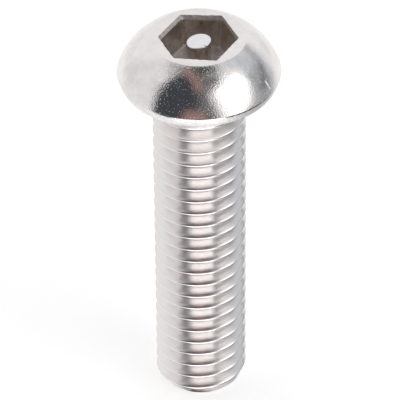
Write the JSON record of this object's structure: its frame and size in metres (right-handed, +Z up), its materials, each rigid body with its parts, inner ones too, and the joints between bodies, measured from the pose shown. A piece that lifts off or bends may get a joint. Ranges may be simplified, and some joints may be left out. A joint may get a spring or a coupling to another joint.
{
  "type": "button head screw",
  "caption": "Tamper-resistant button head machine screw: domed head, hexagon socket with a centre pin, and a round shank threaded up to the head.",
  "frame": {"origin": "centre of the flat tip, on the floor that the screw stands on", "axes": "+Z up the screw's axis, from the tip to the head"},
  "size_m": [0.0104, 0.0104, 0.0279],
  "materials": {
    "steel": "bare stainless steel: bright tumbled head with fine pits, bright rolled thread, darker forged socket"
  },
  "bodies": {
    "root": {"screw": "steel"}
  },
  "joints": []
}
